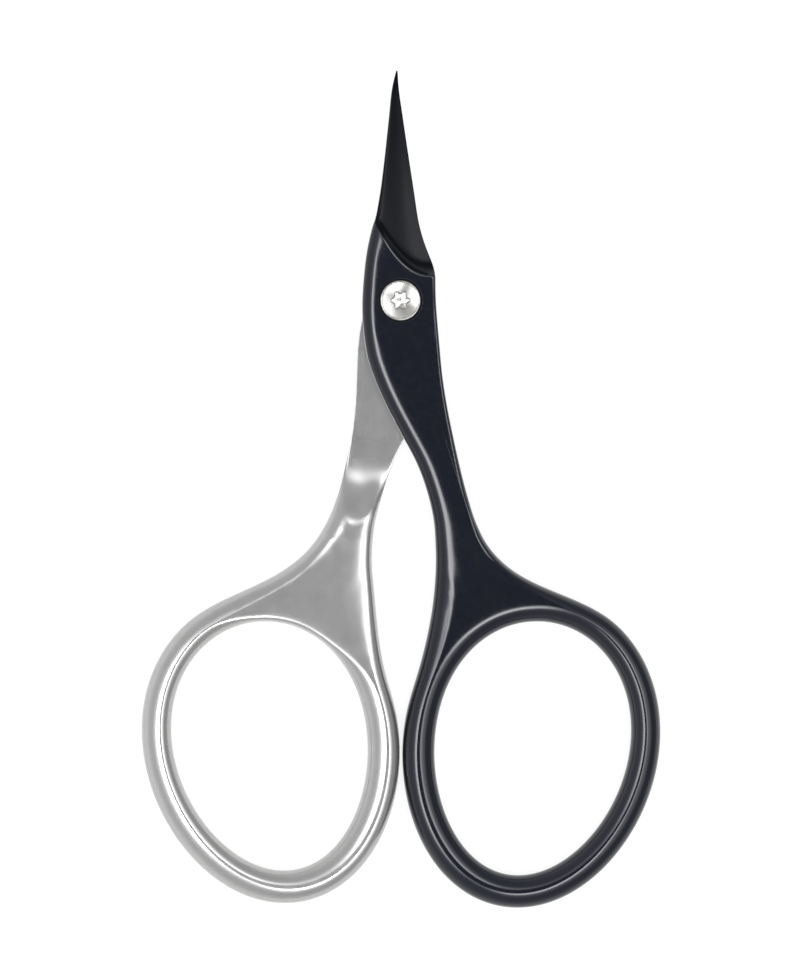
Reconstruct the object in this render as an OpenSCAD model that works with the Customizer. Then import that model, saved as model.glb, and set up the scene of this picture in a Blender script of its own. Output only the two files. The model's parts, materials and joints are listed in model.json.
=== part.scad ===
// Cuticle scissors: two forged halves that turn on one shoulder screw.
// They lie flat with the front half on top, the blade tips towards +Y and the
// pivot axis along Z. The underside of the rear half at the pivot is at Z = 0.

/* [Blades] */
// Pivot axis to the blade tips
blade_len = 24.7; // [19:0.1:32]
// Rise of the curved blades at their tips
blade_lift = 2.4; // [0:0.1:4]
// Pivot axis to the start of the upward curve
lift_start = 6.5; // [5:0.1:10]
// Thickness of a blade's back beside the boss
back_t = 1.15; // [0.9:0.05:1.4]
// Thickness of a blade at the tip
tip_t = 0.3; // [0.25:0.01:0.5]
// Thickness just behind the cutting edge
edge_t = 0.2; // [0.18:0.01:0.3]
// Depth of the hollow in the ground face
hollow_t = 0.08; // [0:0.01:0.12]
// Length of the concave run-out between ground face and boss
grind_runout = 1.4; // [0.8:0.1:2]

/* [Boss and shank] */
// Thickness of each half at the pivot
half_t = 1.65; // [1.5:0.05:2.2]
// Width of each half across the pivot
boss_w = 8; // [7.4:0.1:9.5]
// Width of the shank at its waist
shank_w = 4.24; // [3.6:0.02:5.2]
// Pivot axis to the top of the finger hole
shank_len = 34.6; // [30:0.1:44]
// Width of the rounded shoulder along the blade's back side
shoulder_w = 1.75; // [1.2:0.05:2]
// Running gap between the ground inner faces
mate_gap = 0.03; // [0.02:0.01:0.06]

/* [Finger rings] */
// Width of the finger hole
hole_w = 21.1; // [18:0.1:25]
// Length of the front half's finger hole
front_hole_l = 27.4; // [23:0.1:34]
// Length of the rear half's finger hole
rear_hole_l = 26.9; // [23:0.1:34]
// Lean of the hole, its top away from the other ring
hole_lean = 1; // [0:0.1:2]
// Width of the bar round the hole
bar_w = 3.35; // [2.8:0.05:4]
// Gap between the two rings when the blades are closed
ring_gap = 0.2; // [0.15:0.05:1]
// Depth of the hollow in the web above the hole
web_dip = 0.05; // [0:0.01:0.2]

/* [Pivot screw] */
// Diameter of the screw head
head_d = 4.45; // [4:0.05:5]
// Depth of the shallow dish in the face of the head
head_dish = 0.2; // [0:0.02:0.3]
// Depth of the counterbore that holds the head
seat_depth = 0.9; // [0.7:0.05:1.1]
// Gap round the head in its counterbore
seat_gap = 0.12; // [0.08:0.01:0.25]
// Diameter of the smooth shoulder that the front half turns on
shoulder_d = 2.8; // [2.4:0.05:3.1]
// Radial running clearance of the shoulder in the front half
run_gap = 0.03; // [0.02:0.01:0.08]
// Diameter of the threaded end
thread_d = 2.2; // [1.8:0.05:2.3]
// Depth of the screw end below the rear half's outer face
end_depth = 0.12; // [0.05:0.01:0.3]
// Size of the six-lobe recess across its lobes
lobe_d = 2.15; // [1.8:0.05:2.4]
// Depth of the six-lobe recess
lobe_depth = 0.6; // [0.4:0.05:0.8]
// Thickness of the friction washer under the head
washer_t = 0.15; // [0.1:0.01:0.25]

/* [Hidden] */
// Outline of the front blade, from the pivot to the tip: share of blade_len,
// then the back and the cutting edge as shares of half the boss
front_blade = [
    [0.00, -1.045, 0.950],
    [0.13, -0.978, 0.918],
    [0.18, -0.950, 0.822],
    [0.22, -0.922, 0.714],
    [0.265, -0.876, 0.614],
    [0.31, -0.800, 0.535],
    [0.35, -0.700, 0.478],
    [0.44, -0.582, 0.398],
    [0.61, -0.440, 0.237],
    [0.79, -0.318, 0.072],
    [0.96, -0.185, -0.068],
    [1.00, -0.115, -0.078]
];
// The same for the rear blade, which hides behind the front one when closed
rear_blade = [
    [0.00, -0.930, 0.935],
    [0.13, -0.890, 0.900],
    [0.18, -0.800, 0.860],
    [0.22, -0.690, 0.820],
    [0.265, -0.590, 0.770],
    [0.31, -0.510, 0.700],
    [0.35, -0.458, 0.640],
    [0.44, -0.378, 0.545],
    [0.61, -0.217, 0.415],
    [0.79, -0.052, 0.300],
    [0.96, 0.082, 0.170],
    [1.00, 0.080, 0.112]
];
// Outline of the front shank, downwards from the boss: share of shank_len, then
// its middle as a share of the way out to the middle of the ring, and its width
// from 0 at the waist to 1 at the boss
front_shank = [
    [0.05, -0.007, 1.020],
    [0.14, 0.011, 1.030],
    [0.23, 0.054, 0.865],
    [0.325, 0.123, 0.620],
    [0.42, 0.209, 0.332],
    [0.51, 0.292, 0.085],
    [0.605, 0.364, 0.000],
    [0.70, 0.427, 0.105],
    [0.76, 0.470, 0.359],
    [0.80, 0.512, 0.641],
    [0.83, 0.551, 0.939],
    [0.87, 0.626, 1.530]
];
// The same for the rear shank, seen from its own outer face
rear_shank = [
    [0.05, 0.010, 1.000],
    [0.14, 0.037, 1.065],
    [0.23, 0.060, 0.955],
    [0.325, 0.108, 0.683],
    [0.42, 0.170, 0.424],
    [0.51, 0.246, 0.205],
    [0.605, 0.316, 0.150],
    [0.70, 0.395, 0.295],
    [0.76, 0.453, 0.588],
    [0.80, 0.502, 0.923],
    [0.83, 0.556, 1.327],
    [0.87, 0.642, 2.024]
];
// Outer face downwards from the boss: share of shank_len, width and height of
// the shoulder on the back side, then of the other one, and slow fall of the
// face towards the back side, with the widths as shares of shoulder_w and the
// heights as shares of half_t
face_form = [
    [-0.20, 0.70, 0.46, 0.20, 0.25, 0.00],
    [0.05, 0.92, 0.50, 0.17, 0.20, 0.00],
    [0.25, 1.00, 0.54, 0.18, 0.22, 0.01],
    [0.45, 0.94, 0.60, 0.22, 0.32, 0.02],
    [0.62, 0.84, 0.66, 0.28, 0.50, 0.03],
    [0.74, 0.88, 0.74, 0.32, 0.68, 0.06],
    [0.83, 1.04, 0.82, 0.36, 0.84, 0.10]
];
// Inner face downwards from the boss: share of shank_len, depth of the floor
// below the ground plane, width of the flank on the back side and of the other
// one and slow fall of the floor towards the back side, all as shares of
// half_t, and the arc of the flanks in degrees
inner_form = [
    [0.40, 0.00, 0.03, 0.03, 0.00, 60],
    [0.475, 0.00, 0.04, 0.04, 0.00, 70],
    [0.51, 0.03, 0.22, 0.24, 0.03, 85],
    [0.575, 0.21, 0.34, 0.38, 0.05, 90],
    [0.62, 0.50, 0.42, 0.56, 0.06, 90],
    [0.655, 0.80, 0.46, 0.80, 0.06, 90],
    [0.675, 0.94, 0.46, 0.96, 0.06, 90],
    [0.70, 1.00, 0.44, 1.04, 0.06, 90],
    [0.76, 1.00, 0.42, 1.00, 0.10, 90],
    [0.83, 1.00, 0.50, 0.90, 0.14, 90]
];
// Rows across a half: ends on the back and edge side and rows up to the next,
// the blade in shares of blade_len and the shank in shares of shank_len
crescent_back = 0.345;
crescent_edge = 0.115;
crescent_sag = 0.27;
// Roll-off of the boss towards the crescent: width, and drop as a share of the
// step from the boss to the blade
roll_w = 0.4;
roll_drop = 0.06;
roll_rows = 2;
// Power of the run-out's curve
runout_power = 2.4;
fork_back = 0.865;
fork_edge = 0.795;
boss_end = 0.16;
ground_end = 0.46;
round_start = 0.71;

// Length of the rounded end of the ground pocket on the inner face in shares of
// shank_len, and the part of it by which its sides end before inner_form
pocket_sag = 0.02;
pocket_lead = 0.6;
// Power of the slow fall of the faces towards the back side, and the share of
// it that the inner face has on the edge side
fall_power = 4;
edge_fall = 0.5;

// Facets of a rounded shoulder, of the middle of a bar and across the fork
arc_n = 4;
mid_n = 3;
fork_n = 6;
blade_rows = 15;
runout_rows = 5;
boss_rows = 5;
neck_rows = 8;
flank_rows = 13;
fork_rows = 5;
// Steps round the ring: beside the back flank, the bar and the edge flank
back_steps = 8;
bar_steps = 42;
edge_steps = 10;
// Hole angles where the web and the two flanks end
web_back = 122;
web_edge = 88;
back_merge = 158;
edge_merge = 52;
round_fn = 96;

// Land left between the rounded sides of the forging
land = 0.1;
// Where the sharp ground edge turns into that land, in shares of shank_len
land_start = 0.475;
land_run = 0.1;
// Break along the edges of the ground faces
edge_break = 0.05;
// Rounding of a blade's back beside the boss and at the tip: width and height
back_round_w = [0.35, 0.03];
back_round_h = [0.35, 0.08];
// The same for the cutting edge, whose height stays
edge_round_w = [0.12, 0.03];
edge_round_h = 0.05;
// Thickness of the edge at the tip as a share of edge_t
tip_edge = 0.9;
// Most of a row's width that one inner flank takes
flank_share = 0.47;
// Narrowing of the hole towards its foot, and its bow towards the other ring
hole_egg = 0.069;
hole_bow = 0.257;
// Growth of the bar towards the foot of the ring
bar_swell = 0.07;
swell_angle = 235;
// Share of the bar left flat along its crest
crest_share = 0.08;
// Lean of the bar's crest towards the back side on the inner face
crest_lean = 0.3;
// Side of the front ring from the middle plane
ring_side = 0.16;
// Hole angles between which a ring reaches furthest towards the other one
side_angles = [160:2:230];
// Rounding of the hole's rim beside the web, on the outer and inner face
web_rims = [1.8, 0.45];
// Steps for the direction of the ring, in degrees, and of the shank
turn_step = 0.5;
drop_step = 0.4;

// Chamfer of the threaded end, break under the head and rounding of its rim
end_chamfer = 0.15;
head_break = 0.05;
rim_round = 0.2;
// Depth of the head's rim below the front half's face
rim_drop = 0.05;
rim_steps = 8;
dish_steps = 10;
// Six-lobe recess in shares of its size: diameter of the core, then place and
// diameter of the ribs between the lobes and of the lobes
core_share = 0.93;
rib_shares = [0.49, 0.3];
lobe_shares = [0.4, 0.2];
lobe_fn = 36;
// Radial gap of the washer round the shoulder
washer_gap = 0.06;

// Middle and length of the two finger holes, each seen from its own outer face
front_ring = [ring_side + side_reach(front_hole_l), -shank_len - front_hole_l / 2, front_hole_l];
rear_ring = [ring_gap - ring_side + side_reach(rear_hole_l), -shank_len - rear_hole_l / 2, rear_hole_l];
face_z = 2 * half_t + mate_gap;
head_seat_z = face_z - seat_depth;
head_under_z = head_seat_z + washer_t + run_gap;
overcut = 1;

// Blend of a and b, and a blend value with soft ends
function mix(a, b, t) = a + (b - a) * t;
function soft(t) = let (c = min(max(t, 0), 1)) c * c * (3 - 2 * c);

// Smooth curve through rows whose first entry rises from row to row
function span(rows, u, i = 0) = i + 2 < len(rows) && u > rows[i + 1][0] ? span(rows, u, i + 1) : i;
function slope(rows, i) =
    i == 0 ? (rows[1] - rows[0]) / (rows[1][0] - rows[0][0]) :
    i == len(rows) - 1 ? (rows[i] - rows[i - 1]) / (rows[i][0] - rows[i - 1][0]) :
    let (a = rows[i][0] - rows[i - 1][0], b = rows[i + 1][0] - rows[i][0])
    ((rows[i] - rows[i - 1]) * b / a + (rows[i + 1] - rows[i]) * a / b) / (a + b);
function hermite(p, dp, q, dq, t) =
    p * (1 + t * t * (2 * t - 3)) + dp * t * (1 - t) * (1 - t)
    + q * t * t * (3 - 2 * t) - dq * t * t * (1 - t);
function at(rows, u) =
    let (i = span(rows, u), h = rows[i + 1][0] - rows[i][0])
    hermite(rows[i], slope(rows, i) * h, rows[i + 1], slope(rows, i + 1) * h, (u - rows[i][0]) / h);
function clamped(rows, u) = at(rows, min(max(u, rows[0][0]), rows[len(rows) - 1][0]));

// Outline of a half as rows of height, back side and edge side, where reach is
// the middle of its ring
function outline(blade, shank, reach) = concat(
    [for (i = [len(shank) - 1:-1:0])
        let (r = shank[i], half = mix(shank_w, boss_w, r[2]) / 2)
        [-r[0] * shank_len, r[1] * reach - half, r[1] * reach + half]],
    [for (r = blade) [r[0] * blade_len, r[1] * boss_w / 2, r[2] * boss_w / 2]]
);

// Rows from the tip to the fork: end on the back, end on the edge, sag, share
// of boss form, and thickness form of the blade from 0 at the boss to 1 at the tip
function band(a, b, n) = [for (i = [0:n - 1]) mix(a, b, i / n)];
tip_row = [blade_len, blade_len, 0, 0, 1];
crescent_row = [crescent_back * blade_len, crescent_edge * blade_len, crescent_sag, 1 - roll_drop, 0];
roll_row = [crescent_row[0] - roll_w, crescent_row[1] - roll_w, crescent_sag, 1, 0];
boss_row = [-boss_end * shank_len, -boss_end * shank_len, 0, 1, 0];
ground_row = [-ground_end * shank_len, -ground_end * shank_len, 0, 1, 0];
round_row = [-round_start * shank_len, -round_start * shank_len, 0, 1, 0];
fork_row = [-fork_back * shank_len, -fork_edge * shank_len, 0, 1, 0];
runout_share = grind_runout / (blade_len - crescent_row[1]);
face_row = [for (i = [0:4]) i == 3 ? 0 : mix(crescent_row[i], tip_row[i], runout_share)];
row_lines = concat(
    band(tip_row, face_row, blade_rows),
    [for (i = [0:runout_rows - 1])
        let (t = sin(90 * i / runout_rows), r = mix(face_row, crescent_row, t))
        [r[0], r[1], r[2], crescent_row[3] * pow(t, runout_power), r[4]]],
    [for (i = [0:roll_rows - 1])
        let (t = i / roll_rows, r = mix(crescent_row, roll_row, t))
        [r[0], r[1], r[2], 1 - roll_drop * (1 - t) * (1 - t), r[4]]],
    band(roll_row, boss_row, boss_rows),
    band(boss_row, ground_row, neck_rows),
    band(ground_row, round_row, flank_rows),
    band(round_row, fork_row, fork_rows),
    [fork_row]
);

// Hollow across a face, from 0 to 1 in the middle and back, with soft ends
function hollow(s) = 16 * s * s * (1 - s) * (1 - s);

// Quarter round from the side wall, where k is 0, to the face, where k is arc_n
function arc_in(w, k, arc = 90) = w * (1 - cos(arc * k / arc_n)) / (1 - cos(arc));
function arc_up(h, k, arc = 90) = h * sin(arc * k / arc_n) / sin(arc);

// Height of the curved blades, the same all round the pivot axis
function lift(p) =
    let (r = norm([p[0], p[1]]) - lift_start)
    p[1] > 0 && r > 0 ? blade_lift * pow(r / (blade_len - lift_start), 2) : 0;

// One closed row across a half: outer face from back to edge, then inner face
function row_loop(out, line, bend) =
    let (
        back = clamped(out, line[0])[1], edge = clamped(out, line[1])[2],
        width = edge - back, rise = line[1] - line[0],
        down = -(line[0] + line[1]) / 2 / shank_len,
        form = clamped(face_form, down), inner = clamped(inner_form, down) * half_t,
        arc = clamped(inner_form, down)[5],
        q = line[3], f = line[4],
        back_z = mix(mix(back_t, tip_t, f), half_t, q),
        edge_z = mix(edge_t * mix(1, tip_edge, f), half_t, q),
        sw = mix(mix(back_round_w[0], back_round_w[1], f), form[1] * shoulder_w, q),
        sh = mix(mix(back_round_h[0], back_round_h[1], f), form[2] * half_t, q),
        ew = mix(mix(edge_round_w[0], edge_round_w[1], f), form[3] * shoulder_w, q),
        eh = mix(edge_round_h, form[4] * half_t, q),
        bow = -hollow_t * (1 - q) * (1 - f),
        fall = max(form[5], 0) * half_t * q,
        flank_b = min(max(inner[2], edge_break), width * flank_share),
        flank_e = min(max(inner[3], edge_break), width * flank_share),
        floor = function (s)
            -half_t * min(clamped(inner_form, down + pocket_sag * (pocket_lead - hollow(s)))[1], 1),
        climb = function (s) max(inner[4], 0) * (pow(1 - s, fall_power) + edge_fall * pow(s, fall_power)),
        wall = mix(edge_break, -land, soft((down - land_start) / land_run)),
        dip = web_dip * soft((down - round_start) / (fork_edge - round_start)),
        spot = function (x, z)
            let (s = (x - back) / width, y = line[0] + rise * s - line[2] * width * 4 * s * (1 - s))
            [x, y, z + bend * lift([x, y])]
    )
    concat(
        [for (k = [0:arc_n]) spot(back + arc_in(sw, k), back_z - fall - sh + arc_up(sh, k))],
        [for (j = [1:fork_n - 1])
            let (s = j / fork_n)
            spot(mix(back + sw, edge - ew, s),
                mix(back_z, edge_z, s) + (bow - dip) * hollow(s) - fall * pow(1 - s, fall_power))],
        [for (k = [arc_n:-1:0]) spot(edge - arc_in(ew, k), edge_z - eh + arc_up(eh, k))],
        [for (k = [0:arc_n])
            spot(edge - arc_in(flank_e, k, arc), wall + arc_up(floor(1) + climb(1) - wall, k, arc))],
        [for (j = [fork_n - 1:-1:1])
            let (s = j / fork_n)
            spot(mix(back + flank_b, edge - flank_e, s),
                floor(s) + climb(s) + dip * hollow(s))],
        [for (k = [arc_n:-1:0])
            spot(back + arc_in(flank_b, k, arc), wall + arc_up(floor(0) + climb(0) - wall, k, arc))]
    );

// Rim of the finger hole c, the direction out of it and the bar's outer side
function rim(c, t) = [
    c[0] + hole_w / 2 * cos(t) * (1 + hole_egg * sin(t)) + hole_lean * sin(t) + hole_bow * cos(2 * t),
    c[1] + c[2] / 2 * sin(t)
];
function outward(c, t) = let (d = rim(c, t + turn_step) - rim(c, t - turn_step)) [d[1], -d[0]] / norm(d);
function outside(c, t) = rim(c, t) + outward(c, t) * bar_w * (1 + bar_swell * cos(t - swell_angle));
// Reach of a ring from the middle of its hole towards the other ring
function side_reach(l) = max([for (t = side_angles) -outside([0, 0, l], t)[0]]);

// Flank that leads from the shank's outline at p into the ring at angle t
function flank_point(c, p, dp, t, turn, s) =
    let (q = outside(c, t), reach = norm(q - p), d = outside(c, t + turn) - outside(c, t - turn))
    hermite(p, dp * reach, q, d / norm(d) * reach, s);

// Rounded side of a bar from p inwards along d up to the height h, on the outer
// or inner face
function side_round(p, d, w, h, face) = [for (k = [0:arc_n])
    [p[0] + d[0] * arc_in(w, k), p[1] + d[1] * arc_in(w, k), face * (land + arc_up(h - land, k))]];

// One row across the ring at hole angle t, from the outer side over the outer
// face to the hole and back over the inner face
function bar_loop(c, t, top, low, rims) =
    let (
        top_in = side_round(rim(c, t), outward(c, t), rims[0], half_t, 1),
        low_in = side_round(rim(c, t), outward(c, t), rims[1], half_t, -1)
    )
    concat(top, crest(top[arc_n], top_in[arc_n], 1), turned(top_in), low_in,
        turned(crest(low[arc_n], low_in[arc_n], -1)), turned(low));
function turned(list) = [for (i = [len(list) - 1:-1:0]) list[i]];
function side_size(points) = [plan_gap(points[0], points[arc_n]), abs(points[arc_n][2])];
// Points between p on the outer side and q on the hole's side
function crest(p, q, face) =
    let (dip = web_dip * pow(min(plan_gap(p, q) / (2 * bar_w), 1), 2))
    [for (j = [1:mid_n - 1])
        let (s = j / mid_n)
        [mix(p[0], q[0], s), mix(p[1], q[1], s),
            mix(q[2], p[2], pow(1 - s, fall_power)) - face * dip * hollow(s)]];
function plan_gap(p, q) = norm([q[0] - p[0], q[1] - p[1]]);

// Row in a flank or the free bar with its side at p, where s runs from 0 at
// the fork to 1 in the bar; sides holds the width and height of the fork's side
// on the outer face, then on the inner face
function free_loop(c, t, p, d, s, sides) =
    let (
        way = mix(d, -outward(c, t), soft(s)), u = way / norm(way), k = soft(s),
        full = min(norm(p - rim(c, t)), bar_w) * (1 - crest_share) / 2,
        lean = crest_lean * outward(c, t)[0]
    )
    bar_loop(
        c, t, side_round(p, u, mix(sides[0], full, k), mix(sides[1], half_t, k), 1),
        side_round(p, u, mix(sides[2], full * (1 + lean), k), mix(sides[3], half_t, k), -1),
        mix(web_rims, full * [1, 1 - lean], k)
    );

// Rows round the ring from the back of the fork to its edge, then the web
function ring_rows(c, out, fork) =
    let (
        n = len(fork), top_n = 2 * arc_n + fork_n + 1,
        top_b = [for (k = [0:arc_n]) fork[k]], low_b = [for (k = [0:arc_n]) fork[n - 1 - k]],
        top_e = [for (k = [0:arc_n]) fork[top_n - 1 - k]], low_e = [for (k = [0:arc_n]) fork[top_n + k]],
        back = [fork[0][0], fork[0][1]], edge = [fork[top_n - 1][0], fork[top_n - 1][1]],
        across = (edge - back) / norm(edge - back),
        back_sides = concat(side_size(top_b), side_size(low_b)),
        edge_sides = concat(side_size(top_e), side_size(low_e)),
        back_d = heading(out, back[1], 1), edge_d = heading(out, edge[1], 2)
    )
    concat(
        [bar_loop(c, web_back, top_b, low_b, web_rims)],
        [for (i = [1:back_steps - 1])
            let (s = i / back_steps, t = mix(web_back, back_merge, s))
            free_loop(c, t, flank_point(c, back, back_d, back_merge, 1, s), across, s, back_sides)],
        [for (i = [0:bar_steps])
            let (t = mix(back_merge, 360 + edge_merge, i / bar_steps))
            free_loop(c, t, outside(c, t), -outward(c, t), 1, [0, 0, 0, 0])],
        [for (i = [1:edge_steps - 1])
            let (s = 1 - i / edge_steps, t = mix(web_edge, edge_merge, s))
            free_loop(c, t, flank_point(c, edge, edge_d, edge_merge, -1, s), -across, s, edge_sides)],
        [bar_loop(c, web_edge, top_e, low_e, web_rims)],
        [for (j = [fork_n - 1:-1:1])
            bar_loop(
                c, mix(web_back, web_edge, j / fork_n), [for (k = [0:arc_n]) fork[arc_n + j]],
                [for (k = [0:arc_n]) fork[top_n + arc_n + fork_n - j]], web_rims
            )],
        [bar_loop(c, web_back, top_b, low_b, web_rims)]
    );
// Direction of an outline downwards at height y
function heading(out, y, side) =
    let (d = [clamped(out, y)[side] - clamped(out, y + drop_step)[side], -drop_step]) d / norm(d);

// Triangles between two neighbouring rows of n points, for columns from a to b
function strip(row, n, start, a, b) = [
    for (j = [a:b])
        let (k = (j + 1) % n, p = start + row * n, q = p + n)
        each [[p + j, p + k, q + k], [p + j, q + k, q + j]]
];

module forging(blade, shank, ring_middle, bend) {
    out = outline(blade, shank, ring_middle[0]);
    body = [for (line = row_lines) row_loop(out, line, bend)];
    fork = body[len(body) - 1];
    ring = ring_rows(ring_middle, out, fork);
    body_n = len(fork);
    ring_n = len(ring[0]);
    start = len(body) * body_n;
    web_start = back_steps + bar_steps + edge_steps;
    polyhedron(
        points = [for (row = concat(body, ring)) each row],
        faces = concat(
            [for (j = [1:body_n - 2]) [0, j + 1, j]],
            [for (i = [0:len(body) - 2]) each strip(i, body_n, 0, 0, body_n - 1)],
            [for (i = [0:web_start - 1]) each strip(i, ring_n, start, 0, ring_n - 1)],
            [for (i = [web_start:len(ring) - 2]) each strip(i, ring_n, start, arc_n, ring_n - 2 - arc_n)]
        )
    );
}

module front_half() {
    color("#262b36")
    difference() {
        translate([0, 0, half_t + mate_gap])
        forging(front_blade, front_shank, front_ring, 1);
        cylinder(d = shoulder_d + 2 * run_gap, h = face_z + overcut, $fn = round_fn);
        translate([0, 0, head_seat_z])
        cylinder(d = head_d + 2 * seat_gap, h = seat_depth + overcut, $fn = round_fn);
    }
}

module rear_half() {
    color("#b9b9b6")
    difference() {
        translate([0, 0, half_t])
        rotate([0, 180, 0])
        forging(rear_blade, rear_shank, rear_ring, -1);
        translate([0, 0, -overcut])
        cylinder(d = thread_d, h = half_t + 2 * overcut, $fn = round_fn);
    }
}

// Shoulder screw: dished head with a six-lobe recess, shoulder and threaded end
module pivot_screw() {
    rim_z = face_z - rim_drop;
    head_r = head_d / 2;
    dish_r = head_r - rim_round;
    color("#d8d6d2")
    difference() {
        rotate_extrude($fn = round_fn)
        polygon(concat(
            [
                [0, end_depth], [thread_d / 2 - end_chamfer, end_depth],
                [thread_d / 2, end_depth + end_chamfer], [thread_d / 2, half_t],
                [shoulder_d / 2, half_t], [shoulder_d / 2, head_under_z],
                [head_r - head_break, head_under_z], [head_r, head_under_z + head_break]
            ],
            [for (k = [0:rim_steps]) let (a = 90 * k / rim_steps)
                [dish_r + rim_round * cos(a), rim_z + rim_round * (sin(a) - 1)]],
            [for (k = [1:dish_steps]) let (s = 1 - k / dish_steps)
                [dish_r * s, rim_z - head_dish * (1 - s * s)]]
        ));
        translate([0, 0, rim_z - lobe_depth])
        linear_extrude(lobe_depth + overcut)
        six_lobe(lobe_d);
    }
}

module six_lobe(d) {
    difference() {
        circle(d = d * core_share, $fn = round_fn);
        for (a = [30:60:330])
            rotate(a)
            translate([d * rib_shares[0], 0])
            circle(d = d * rib_shares[1], $fn = lobe_fn);
    }
    for (a = [0:60:300])
        rotate(a)
        translate([d * lobe_shares[0], 0])
        circle(d = d * lobe_shares[1], $fn = lobe_fn);
}

module friction_washer() {
    color("#a08a58")
    translate([0, 0, head_seat_z])
    difference() {
        cylinder(d = head_d, h = washer_t, $fn = round_fn);
        translate([0, 0, -overcut])
        cylinder(d = shoulder_d + 2 * washer_gap, h = washer_t + 2 * overcut, $fn = round_fn);
    }
}

front_half();
rear_half();
pivot_screw();
friction_washer();
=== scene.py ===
import json
import math

import bmesh
import bpy
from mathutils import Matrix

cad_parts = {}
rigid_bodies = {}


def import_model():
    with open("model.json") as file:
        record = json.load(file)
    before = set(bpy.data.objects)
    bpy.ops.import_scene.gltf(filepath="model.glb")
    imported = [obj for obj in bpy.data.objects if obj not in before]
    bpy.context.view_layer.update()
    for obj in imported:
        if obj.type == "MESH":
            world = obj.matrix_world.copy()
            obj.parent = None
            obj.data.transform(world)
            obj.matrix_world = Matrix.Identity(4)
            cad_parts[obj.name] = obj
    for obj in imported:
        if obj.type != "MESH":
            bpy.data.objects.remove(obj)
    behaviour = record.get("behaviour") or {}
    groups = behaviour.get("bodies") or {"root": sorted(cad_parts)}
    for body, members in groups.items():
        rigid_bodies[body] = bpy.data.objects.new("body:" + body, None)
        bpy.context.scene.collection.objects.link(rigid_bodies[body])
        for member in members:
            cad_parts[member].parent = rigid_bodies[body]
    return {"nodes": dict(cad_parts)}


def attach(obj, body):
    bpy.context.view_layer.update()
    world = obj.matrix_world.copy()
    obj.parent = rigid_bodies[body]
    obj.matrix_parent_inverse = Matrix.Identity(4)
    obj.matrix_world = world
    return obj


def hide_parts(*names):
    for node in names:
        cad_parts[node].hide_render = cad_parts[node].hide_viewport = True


mm = 0.001

bpy.ops.object.select_all(action="SELECT")
bpy.ops.object.delete()
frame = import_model()
nodes = frame["nodes"]
scene = bpy.context.scene
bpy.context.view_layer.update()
print("frame loaded,", len(nodes), "nodes")


def deselectAll():
    bpy.ops.object.select_all(action="DESELECT")


def makeActive(piece):
    deselectAll()
    piece.select_set(True)
    bpy.context.view_layer.objects.active = piece


def editMesh(piece):
    makeActive(piece)
    bpy.ops.object.mode_set(mode="EDIT")


def objectMode():
    bpy.ops.object.mode_set(mode="OBJECT")


def applyModifiers(piece):
    makeActive(piece)
    for modifier in list(piece.modifiers):
        bpy.ops.object.modifier_apply(modifier=modifier.name)


def selectFaces(piece, test):
    bpy.ops.mesh.select_mode(type="FACE")
    mesh = bmesh.from_edit_mesh(piece.data)
    for face in mesh.faces:
        face.select_set(test(face))
    mesh.select_flush_mode()
    bmesh.update_edit_mesh(piece.data)


def selectVerts(piece, test):
    bpy.ops.mesh.select_mode(type="VERT")
    mesh = bmesh.from_edit_mesh(piece.data)
    for vert in mesh.verts:
        vert.select_set(test(vert))
    mesh.select_flush_mode()
    bmesh.update_edit_mesh(piece.data)


def cutAway(piece, cutter):
    cut = piece.modifiers.new("cut", "BOOLEAN")
    cut.operation = "DIFFERENCE"
    cut.solver = "EXACT"
    cut.object = cutter
    applyModifiers(piece)
    bpy.data.objects.remove(cutter)


# A turned solid from its foot to its top, as pairs of radius and height
def turned(name, stations, sides=128):
    radius, height = stations[0]
    deselectAll()
    bpy.ops.mesh.primitive_circle_add(
        vertices=sides, radius=radius, fill_type="NGON", location=(0, 0, height),
    )
    piece = bpy.context.object
    piece.name = name
    bpy.ops.object.transform_apply(location=True, rotation=True, scale=True)
    bpy.ops.object.mode_set(mode="EDIT")
    for nextRadius, nextHeight in stations[1:]:
        growth = nextRadius / radius
        rise = {"value": (0, 0, nextHeight - height)}
        bpy.ops.mesh.extrude_region_move(TRANSFORM_OT_translate=rise)
        bpy.ops.transform.resize(value=(growth, growth, 1), center_override=(0, 0, nextHeight))
        radius, height = nextRadius, nextHeight
    bpy.ops.mesh.select_all(action="SELECT")
    bpy.ops.mesh.normals_make_consistent(inside=False)
    objectMode()
    return piece


# The forged halves

forging = {
    "mergeWithin": 0.0005 * mm,
    "flatNormal": 0.99999,
    "flatFoot": -25 * mm,
    "flatAngle": math.radians(0.25),
    "flatCorners": 6,
    "flatInset": 0.12 * mm,
    "quadAngle": math.radians(40),
    "quadShape": math.radians(60),
    "sharpAngle": math.radians(42),
    "smoothAngle": math.radians(32),
    "levels": 2,
}


def onFlat(face):
    isLevel = abs(face.normal.z) > forging["flatNormal"]
    return isLevel and face.calc_center_median().y > forging["flatFoot"]


def isWholeFlat(face, flatZ):
    offset = abs(face.calc_center_median().z - flatZ)
    return len(face.verts) > forging["flatCorners"] and offset < forging["mergeWithin"]


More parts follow.
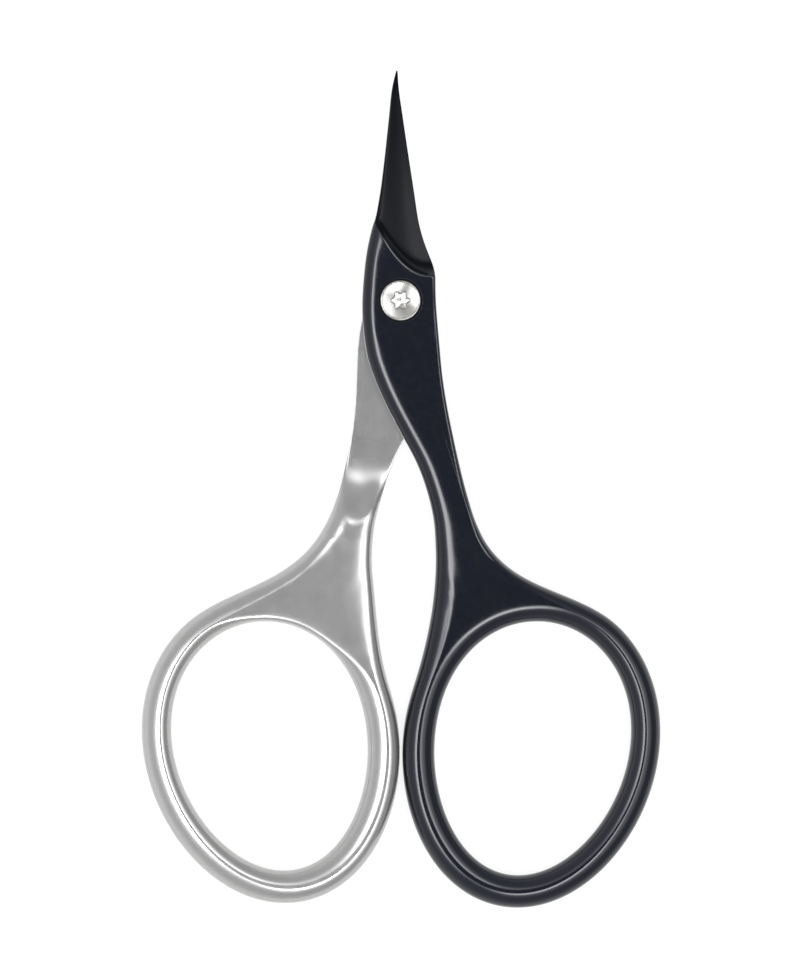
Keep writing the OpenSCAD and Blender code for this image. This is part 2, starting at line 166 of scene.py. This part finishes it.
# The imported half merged, its bore filled and its triangles joined, then subdivided
def finishedForging(nodeName, pieceName, clearRadius, flatZ):
    piece = bpy.data.objects.new(pieceName, nodes[nodeName].data.copy())
    scene.collection.objects.link(piece)
    piece.data.materials.clear()
    editMesh(piece)
    bpy.ops.mesh.select_all(action="SELECT")
    bpy.ops.mesh.customdata_custom_splitnormals_clear()
    bpy.ops.mesh.remove_doubles(threshold=forging["mergeWithin"])
    # the bore goes, so that the flats are whole while they are smoothed
    selectVerts(piece, lambda vert: math.hypot(vert.co.x, vert.co.y) < clearRadius)
    bpy.ops.mesh.delete(type="VERT")
    bpy.ops.mesh.select_all(action="SELECT")
    bpy.ops.mesh.fill_holes(sides=0)
    # each flat becomes one face, and the one at flatZ gets a narrow border of its own
    selectFaces(piece, onFlat)
    bpy.ops.mesh.dissolve_limited(angle_limit=forging["flatAngle"])
    selectFaces(piece, lambda face: isWholeFlat(face, flatZ))
    bpy.ops.mesh.inset(thickness=forging["flatInset"], use_boundary=True)
    bpy.ops.mesh.quads_convert_to_tris(ngon_method="BEAUTY")
    bpy.ops.mesh.select_all(action="SELECT")
    bpy.ops.mesh.tris_convert_to_quads(
        face_threshold=forging["quadAngle"], shape_threshold=forging["quadShape"],
    )
    # sharp edges keep their place in the subdivision
    bpy.ops.mesh.select_mode(type="EDGE")
    bpy.ops.mesh.select_all(action="DESELECT")
    bpy.ops.mesh.edges_select_sharp(sharpness=forging["sharpAngle"])
    bpy.ops.transform.edge_crease(value=1)
    objectMode()
    soft = piece.modifiers.new("soft", "SUBSURF")
    soft.levels = soft.render_levels = forging["levels"]
    applyModifiers(piece)
    print(pieceName, len(piece.data.polygons), "faces")
    return piece


def smoothByAngle(piece, angle):
    makeActive(piece)
    bpy.ops.object.shade_smooth_by_angle(angle=angle)


# the counterbore, its clearance bore and the tapped hole, and how far out the
# packed bores are cleared first
seat = {
    "headRadius": 2.225 * mm,
    "gap": 0.12 * mm,
    "floor": 2.43 * mm,
    "face": 3.33 * mm,
    "rimBreak": 0.09 * mm,
    "boreRadius": 1.43 * mm,
    "tapRadius": 1.1 * mm,
    "overcut": 1 * mm,
    "frontClear": 2.4 * mm,
    "rearClear": 1.2 * mm,
}
headBore = seat["headRadius"] + seat["gap"]
tapMouth = seat["tapRadius"] + seat["rimBreak"]

frontHalf = finishedForging("front_half", "front_half_coated", seat["frontClear"], seat["face"])
cutAway(frontHalf, turned("boreCutter", [
    (seat["boreRadius"], -seat["overcut"]),
    (seat["boreRadius"], seat["floor"]),
    (headBore, seat["floor"]),
    (headBore, seat["face"] - seat["rimBreak"]),
    (headBore + seat["rimBreak"], seat["face"]),
    (headBore + seat["rimBreak"], seat["face"] + seat["overcut"]),
]))
smoothByAngle(frontHalf, forging["smoothAngle"])
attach(frontHalf, "front")
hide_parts("front_half")
print("front half done")

# the ground pocket behind the rear half's shoulder runs out softly
pocket = {
    "low": -25.5 * mm,
    "high": -15 * mm,
    "floor": 1.2 * mm,
    "rise": 0.72,
    "share": 0.5,
    "passes": 40,
}


def inPocket(vert):
    inReach = pocket["low"] < vert.co.y < pocket["high"] and vert.co.z > pocket["floor"]
    return inReach and vert.normal.z > pocket["rise"]


def softenPocket(piece):
    editMesh(piece)
    selectVerts(piece, inPocket)
    bpy.ops.mesh.vertices_smooth(factor=pocket["share"], repeat=pocket["passes"])
    objectMode()


rearHalf = finishedForging("rear_half", "rear_half_satin", seat["rearClear"], 0)
cutAway(rearHalf, turned("tapCutter", [
    (tapMouth, -seat["overcut"]),
    (tapMouth, 0),
    (seat["tapRadius"], seat["rimBreak"]),
    (seat["tapRadius"], seat["face"]),
]))
softenPocket(rearHalf)
smoothByAngle(rearHalf, forging["smoothAngle"])
# wide faces rule the shading, so that the ground flat stays even
even = rearHalf.modifiers.new("even", "WEIGHTED_NORMAL")
even.keep_sharp = True
applyModifiers(rearHalf)
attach(rearHalf, "rear")
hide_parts("rear_half")
print("rear half done")


# The turned screw

screw = {
    "endDepth": 0.12 * mm,
    "endChamfer": 0.15 * mm,
    "threadRadius": 1.1 * mm,
    "shoulderFoot": 1.65 * mm,
    "shoulderRadius": 1.4 * mm,
    "headFoot": 2.61 * mm,
    "headBreak": 0.05 * mm,
    "headTop": 3.28 * mm,
    "rimRound": 0.2 * mm,
    "rimSteps": 8,
    "dish": 0.13 * mm,
    "dishSteps": 12,
    "lobeMean": 0.97 * mm,
    "lobeSwing": 0.14 * mm,
    "lobeCount": 6,
    "lobeDepth": 0.58 * mm,
    "lobeFoot": 0.8,
    "lobeWall": 0.85,
}


def screwStations():
    radius, top = seat["headRadius"], screw["headTop"]
    stations = [
        (screw["threadRadius"] - screw["endChamfer"], screw["endDepth"]),
        (screw["threadRadius"], screw["endDepth"] + screw["endChamfer"]),
        (screw["threadRadius"], screw["shoulderFoot"]),
        (screw["shoulderRadius"], screw["shoulderFoot"]),
        (screw["shoulderRadius"], screw["headFoot"]),
        (radius - screw["headBreak"], screw["headFoot"]),
        (radius, screw["headFoot"] + screw["headBreak"]),
    ]
    dishRadius = radius - screw["rimRound"]
    for step in range(screw["rimSteps"] + 1):
        turn = math.pi / 2 * step / screw["rimSteps"]
        stations.append((
            dishRadius + screw["rimRound"] * math.cos(turn),
            top + screw["rimRound"] * (math.sin(turn) - 1),
        ))
    for step in range(1, screw["dishSteps"]):
        share = 1 - step / screw["dishSteps"]
        stations.append((dishRadius * share, top - screw["dish"] * (1 - share * share)))
    return stations


pivotScrew = turned("pivot_screw_turned", screwStations())
# the recess: a round punch whose wall swings in and out for the lobes
lobes = turned("lobeCutter", [
    (screw["lobeFoot"] * screw["lobeMean"], screw["headTop"] - screw["lobeDepth"]),
    (screw["lobeMean"], screw["headTop"] - screw["lobeDepth"] * screw["lobeWall"]),
    (screw["lobeMean"], screw["headTop"] + seat["overcut"]),
])
for vert in lobes.data.vertices:
    wave = math.cos(screw["lobeCount"] * math.atan2(vert.co.y, vert.co.x))
    swing = screw["lobeSwing"] * wave / screw["lobeMean"]
    vert.co.x *= 1 + swing
    vert.co.y *= 1 + swing
cutAway(pivotScrew, lobes)
smoothByAngle(pivotScrew, forging["smoothAngle"])
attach(pivotScrew, "rear")
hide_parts("pivot_screw")
print("screw done,", len(pivotScrew.data.polygons), "faces")


# Surface effects that several finishes share

def newGroup(name, inputs, outputs):
    group = bpy.data.node_groups.new(name, "ShaderNodeTree")
    for label, kind, value in inputs:
        socket = group.interface.new_socket(label, in_out="INPUT", socket_type=kind)
        if value is not None:
            socket.default_value = value
    for label, kind in outputs:
        group.interface.new_socket(label, in_out="OUTPUT", socket_type=kind)
    return group, group.nodes.new("NodeGroupInput"), group.nodes.new("NodeGroupOutput")


def addMath(tree, operation, first, second=None):
    node = tree.nodes.new("ShaderNodeMath")
    node.operation = operation
    for socket, value in zip(node.inputs, (first, second)):
        if isinstance(value, bpy.types.NodeSocket):
            tree.links.new(value, socket)
        elif value is not None:
            socket.default_value = value
    return node.outputs[0]


noise = {
    "roughness": 0.6,
    "grainDetail": 3,
    "patchDetail": 4,
    "lineDetail": 2,
    "grain": 0.2 * mm,
    "patch": 2 * mm,
    "lineWidth": 0.09 * mm,
    "lineLength": 4 * mm,
}


def addNoise(tree, vector, scale, detail):
    node = tree.nodes.new("ShaderNodeTexNoise")
    node.inputs["Detail"].default_value = detail
    node.inputs["Roughness"].default_value = noise["roughness"]
    if isinstance(scale, bpy.types.NodeSocket):
        tree.links.new(scale, node.inputs["Scale"])
    else:
        node.inputs["Scale"].default_value = scale
    tree.links.new(vector, node.inputs["Vector"])
    return node.outputs["Fac"]


# Blasted satin: a fine grain and slow patches, both about 0.5
def makeSatinGrain():
    group, given, result = newGroup(
        "satinGrain",
        [
            ("Vector", "NodeSocketVector", None),
            ("Grain", "NodeSocketFloat", noise["grain"]),
            ("Patch", "NodeSocketFloat", noise["patch"]),
        ],
        [("Height", "NodeSocketFloat"), ("Mottle", "NodeSocketFloat")],
    )
    vector = given.outputs["Vector"]
    grainScale = addMath(group, "DIVIDE", 1, given.outputs["Grain"])
    patchScale = addMath(group, "DIVIDE", 1, given.outputs["Patch"])
    grain = addNoise(group, vector, grainScale, noise["grainDetail"])
    patch = addNoise(group, vector, patchScale, noise["patchDetail"])
    group.links.new(grain, result.inputs["Height"])
    group.links.new(patch, result.inputs["Mottle"])
    return group


# Grinding: long fine lines along Y, about 0.5
def makeGrindLines():
    group, given, result = newGroup(
        "grindLines",
        [
            ("Vector", "NodeSocketVector", None),
            ("Width", "NodeSocketFloat", noise["lineWidth"]),
            ("Length", "NodeSocketFloat", noise["lineLength"]),
        ],
        [("Lines", "NodeSocketFloat")],
    )
    across = addMath(group, "DIVIDE", 1, given.outputs["Width"])
    along = addMath(group, "DIVIDE", 1, given.outputs["Length"])
    scale = group.nodes.new("ShaderNodeCombineXYZ")
    for socket, value in zip(scale.inputs, (across, along, across)):
        group.links.new(value, socket)
    stretched = group.nodes.new("ShaderNodeVectorMath")
    stretched.operation = "MULTIPLY"
    group.links.new(given.outputs["Vector"], stretched.inputs[0])
    group.links.new(scale.outputs["Vector"], stretched.inputs[1])
    lines = addNoise(group, stretched.outputs["Vector"], 1, noise["lineDetail"])
    group.links.new(lines, result.inputs["Lines"])
    return group


satinGrain = makeSatinGrain()
grindLines = makeGrindLines()


def addEffect(tree, group, coords):
    node = tree.nodes.new("ShaderNodeGroup")
    node.node_tree = group
    tree.links.new(coords, node.inputs["Vector"])
    return node


# a pattern's values at which the roughness is at its smoothest and its roughest
patternSpan = (0.3, 0.7)


def newMaterial(name, finish):
    material = bpy.data.materials.new(name)
    material.use_nodes = True
    tree = material.node_tree
    shader = tree.nodes["Principled BSDF"]
    shader.inputs["Metallic"].default_value = finish["metal"]
    shader.inputs["IOR"].default_value = finish["ior"]
    coords = tree.nodes.new("ShaderNodeTexCoord").outputs["Object"]
    grain = addEffect(tree, satinGrain, coords)
    grain.inputs["Grain"].default_value = finish["grain"]
    grain.inputs["Patch"].default_value = finish["patch"]
    pattern = grain.outputs["Mottle"]
    if "lines" in finish:
        lines = addEffect(tree, grindLines, coords)
        lines.inputs["Width"].default_value = finish["lines"]
        pattern = lines.outputs["Lines"]
    colours = tree.nodes.new("ShaderNodeMix")
    colours.data_type = "RGBA"
    colours.inputs["A"].default_value = (*finish["dark"], 1)
    colours.inputs["B"].default_value = (*finish["light"], 1)
    tree.links.new(pattern, colours.inputs["Factor"])
    tree.links.new(colours.outputs["Result"], shader.inputs["Base Color"])
    rough = tree.nodes.new("ShaderNodeMapRange")
    rough.inputs["From Min"].default_value = patternSpan[0]
    rough.inputs["From Max"].default_value = patternSpan[1]
    rough.inputs["To Min"].default_value = finish["smooth"]
    rough.inputs["To Max"].default_value = finish["rough"]
    tree.links.new(pattern, rough.inputs["Value"])
    tree.links.new(rough.outputs["Result"], shader.inputs["Roughness"])
    bump = tree.nodes.new("ShaderNodeBump")
    bump.inputs["Strength"].default_value = 1
    bump.inputs["Distance"].default_value = finish["depth"]
    tree.links.new(grain.outputs["Height"], bump.inputs["Height"])
    tree.links.new(bump.outputs["Normal"], shader.inputs["Normal"])
    return material


finishes = {
    "blackCoat": {
        "metal": 0, "ior": 1.52,
        "dark": (0.003, 0.0062, 0.0175), "light": (0.0085, 0.0092, 0.0115),
        "smooth": 0.11, "rough": 0.14, "grain": 0.12 * mm, "patch": 0.5 * mm, "depth": 0.0006 * mm,
    },
    # the ground blade's coat: smoother and with grinding lines, and its colours darker than the
    # body's coat as painted shade
    "groundCoatWithPaintedShade": {
        "metal": 0, "ior": 1.2,
        "dark": (0.0015, 0.003, 0.006), "light": (0.0045, 0.005, 0.006),
        "smooth": 0.16, "rough": 0.19, "grain": 0.12 * mm, "patch": 0.5 * mm, "depth": 0.0005 * mm,
        "lines": 0.12 * mm,
    },
    "satinSteel": {
        "metal": 0.7, "ior": 1.5,
        "dark": (0.43, 0.43, 0.415), "light": (0.5, 0.5, 0.485),
        "smooth": 0.17, "rough": 0.19, "grain": 0.09 * mm, "patch": 1.2 * mm, "depth": 0.0003 * mm,
    },
    "groundSteel": {
        "metal": 0.75, "ior": 1.5,
        "dark": (0.43, 0.43, 0.42), "light": (0.5, 0.5, 0.49),
        "smooth": 0.17, "rough": 0.19, "grain": 0.09 * mm, "patch": 2 * mm, "depth": 0.0003 * mm,
    },
    "polishedSteel": {
        "metal": 1, "ior": 1.5,
        "dark": (0.38, 0.375, 0.355), "light": (0.46, 0.455, 0.43),
        "smooth": 0.19, "rough": 0.22, "grain": 0.1 * mm, "patch": 0.8 * mm, "depth": 0.0002 * mm,
    },
    "washerBronze": {
        "metal": 1, "ior": 1.5,
        "dark": (0.5, 0.36, 0.16), "light": (0.6, 0.45, 0.22),
        "smooth": 0.3, "rough": 0.42, "grain": 0.1 * mm, "patch": 0.6 * mm, "depth": 0.0006 * mm,
    },
}
materials = {name: newMaterial(name, finish) for name, finish in finishes.items()}


# the round marks of the lathe on the screw's head
turning = {"anisotropy": 0.8, "rotation": 0.25}


def turnedMarks(material):
    tree = material.node_tree
    shader = tree.nodes["Principled BSDF"]
    tangent = tree.nodes.new("ShaderNodeTangent")
    tangent.direction_type = "RADIAL"
    tangent.axis = "Z"
    tree.links.new(tangent.outputs["Tangent"], shader.inputs["Tangent"])
    shader.inputs["Anisotropic"].default_value = turning["anisotropy"]
    shader.inputs["Anisotropic Rotation"].default_value = turning["rotation"]


turnedMarks(materials["polishedSteel"])

# the crescent where the grinding of the front blade ends, seen from above, and
# the foot of the rear half's ground flat
grinding = {
    "back": (-2.85 * mm, 8.52 * mm),
    "edge": (3.7 * mm, 2.84 * mm),
    "sag": 1.76 * mm,
    "bladeNormal": 0.35,
    "flatNormal": 0.999,
    "flatFoot": -17 * mm,
}


def aboveCrescent(x, y):
    backX, backY = grinding["back"]
    edgeX, edgeY = grinding["edge"]
    share = min(max((x - backX) / (edgeX - backX), 0), 1)
    chord = backY + (edgeY - backY) * share
    return y > chord - grinding["sag"] * 4 * share * (1 - share)


def assignWhere(piece, slot, test):
    editMesh(piece)
    selectFaces(piece, test)
    piece.active_material_index = slot
    bpy.ops.object.material_slot_assign()
    objectMode()


def groundFront(face):
    middle = face.calc_center_median()
    return face.normal.z > grinding["bladeNormal"] and aboveCrescent(middle.x, middle.y)


def groundRear(face):
    middle = face.calc_center_median()
    return face.normal.z > grinding["flatNormal"] and middle.y > grinding["flatFoot"]


# the front half's ground blade gets the darker coat, whose darker colour is painted shade
for piece, plain, ground, test in (
    (frontHalf, "blackCoat", "groundCoatWithPaintedShade", groundFront),
    (rearHalf, "satinSteel", "groundSteel", groundRear),
):
    piece.data.materials.append(materials[plain])
    piece.data.materials.append(materials[ground])
    assignWhere(piece, 1, test)
pivotScrew.data.materials.append(materials["polishedSteel"])
nodes["friction_washer"].data.materials.clear()
nodes["friction_washer"].data.materials.append(materials["washerBronze"])
print("finishes done")


# Studio: a bright ring round a dim zenith and a soft side wing over a pale
# floor. Ramps are degrees from the zenith, turns are degrees from +X.

studio = {
    "ceiling": [(0, 0.1), (7, 0.11), (22, 0.45), (34, 0.5), (60, 0.56), (90, 0.9), (180, 1)],
    "ceilingSwing": (0.9, 0.45),
    "ring": [(0, 0), (10, 0), (13, 1), (19, 1), (24, 0.08), (40, 0)],
    "ringLevel": 10.5,
    "ringTurn": [
        (0, 0.45), (30, 0.6), (55, 0.5), (75, 0.2), (105, 0.1), (130, 0.1), (150, 0.22),
        (165, 0.75), (180, 1), (210, 0.9), (228, 0.4), (240, 0.12), (255, 0.15), (268, 0.85),
        (290, 1), (315, 0.95), (330, 0.4), (345, 0.4), (360, 0.45),
    ],
    "wing": [(0, 0), (14, 0), (24, 1), (36, 0.6), (44, 0.1), (52, 0)],
    "wingTurn": [(0, 1), (35, 0.7), (60, 0), (300, 0), (325, 0.7), (360, 1)],
    "wingLevel": 1.6,
    "tint": (1.0, 1.0, 1.03),
    "white": 1.12,
    "floorSize": 1.2,
    "floorDrop": 0.02 * mm,
    "floorColour": 0.9,
    "floorRoughness": 0.9,
    "floorGlow": 0.75,
}


def degreesRamp(tree, angle, stops, full):
    ramp = tree.nodes.new("ShaderNodeValToRGB")
    elements = ramp.color_ramp.elements
    elements.remove(elements[-1])
    for place, (degrees, level) in enumerate(stops):
        stop = elements.new(degrees / full) if place else elements[0]
        stop.position = degrees / full
        stop.color = (level, level, level, 1)
    tree.links.new(angle, ramp.inputs["Fac"])
    return ramp.outputs["Color"]


# Two shaders mixed by a factor
def addMix(tree, factor, first, second):
    mix = tree.nodes.new("ShaderNodeMixShader")
    for socket, output in zip(mix.inputs, (factor, first, second)):
        tree.links.new(output, socket)
    return mix.outputs["Shader"]


def makeWorld():
    world = bpy.data.worlds.new("studio")
    world.use_nodes = True
    tree = world.node_tree
    tree.nodes.clear()
    split = tree.nodes.new("ShaderNodeSeparateXYZ")
    tree.links.new(tree.nodes.new("ShaderNodeTexCoord").outputs["Generated"], split.inputs[0])
    # both as shares, the angle of 180 degrees and the turn of 360
    angle = addMath(tree, "DIVIDE", addMath(tree, "ARCCOSINE", split.outputs["Z"]), math.pi)
    turn = addMath(tree, "ARCTAN2", split.outputs["Y"], split.outputs["X"])
    turn = addMath(tree, "ADD", addMath(tree, "DIVIDE", turn, 2 * math.pi), 1)
    turn = addMath(tree, "FRACT", turn)
    bands = []
    for name in ("ring", "wing"):
        along = degreesRamp(tree, turn, studio[name + "Turn"], 360)
        band = addMath(tree, "MULTIPLY", degreesRamp(tree, angle, studio[name], 180), along)
        bands.append(addMath(tree, "MULTIPLY", band, studio[name + "Level"]))
    # the ceiling is brighter towards -X
    plainShare, swing = studio["ceilingSwing"]
    sides = addMath(tree, "MULTIPLY", split.outputs["X"], swing)
    sides = addMath(tree, "SUBTRACT", plainShare, sides)
    ceiling = addMath(tree, "MULTIPLY", degreesRamp(tree, angle, studio["ceiling"], 180), sides)
    level = addMath(tree, "ADD", addMath(tree, "ADD", *bands), ceiling)
    glow = tree.nodes.new("ShaderNodeBackground")
    glow.inputs["Color"].default_value = (*studio["tint"], 1)
    tree.links.new(level, glow.inputs["Strength"])
    plain = tree.nodes.new("ShaderNodeBackground")
    plain.inputs["Strength"].default_value = studio["white"]
    seen = tree.nodes.new("ShaderNodeLightPath").outputs["Is Camera Ray"]
    backdrop = addMix(tree, seen, glow.outputs["Background"], plain.outputs["Background"])
    tree.links.new(backdrop, tree.nodes.new("ShaderNodeOutputWorld").inputs["Surface"])
    scene.world = world


def makeFloor():
    deselectAll()
    bpy.ops.mesh.primitive_plane_add(
        size=studio["floorSize"], location=(0, 0, -studio["floorDrop"]),
    )
    floor = bpy.context.object
    floor.name = "floor"
    paper = bpy.data.materials.new("paper")
    paper.use_nodes = True
    tree = paper.node_tree
    shader = tree.nodes["Principled BSDF"]
    shader.inputs["Base Color"].default_value = (studio["floorColour"],) * 3 + (1,)
    shader.inputs["Roughness"].default_value = studio["floorRoughness"]
    glow = tree.nodes.new("ShaderNodeEmission")
    glow.inputs["Strength"].default_value = studio["white"]
    light = tree.nodes.new("ShaderNodeLightPath")
    seen = addMath(tree, "MAXIMUM", light.outputs["Is Camera Ray"], light.outputs["Is Glossy Ray"])
    seen = addMath(tree, "MAXIMUM", seen, light.outputs["Is Transmission Ray"])
    share = addMath(tree, "MULTIPLY", seen, studio["floorGlow"])
    surface = addMix(tree, share, shader.outputs["BSDF"], glow.outputs["Emission"])
    tree.links.new(surface, tree.nodes["Material Output"].inputs["Surface"])
    floor.data.materials.append(paper)


makeWorld()
makeFloor()
print("studio done")


# Camera: straight above, with the photograph's frame and scale

# the distance in metres above the pivot's middle, the sensor in millimetres
shot = {
    "frame": (804, 976),
    "pivotPixel": (400.5, 300.7),
    "pixel": 0.1079 * mm,
    "distance": 1.0,
    "sensor": 36.0,
}
frameWide, frameHigh = shot["frame"]
pivotRight, pivotDown = shot["pivotPixel"]
cameraData = bpy.data.cameras.new("camera")
camera = bpy.data.objects.new("camera", cameraData)
scene.collection.objects.link(camera)
scene.camera = camera
cameraData.sensor_width = shot["sensor"]
cameraData.lens = shot["sensor"] * shot["distance"] / (frameHigh * shot["pixel"])
camera.location = (
    (frameWide / 2 - pivotRight) * shot["pixel"],
    (pivotDown - frameHigh / 2) * shot["pixel"],
    shot["distance"] + seat["face"] / 2,
)
scene.view_settings.view_transform = "Standard"
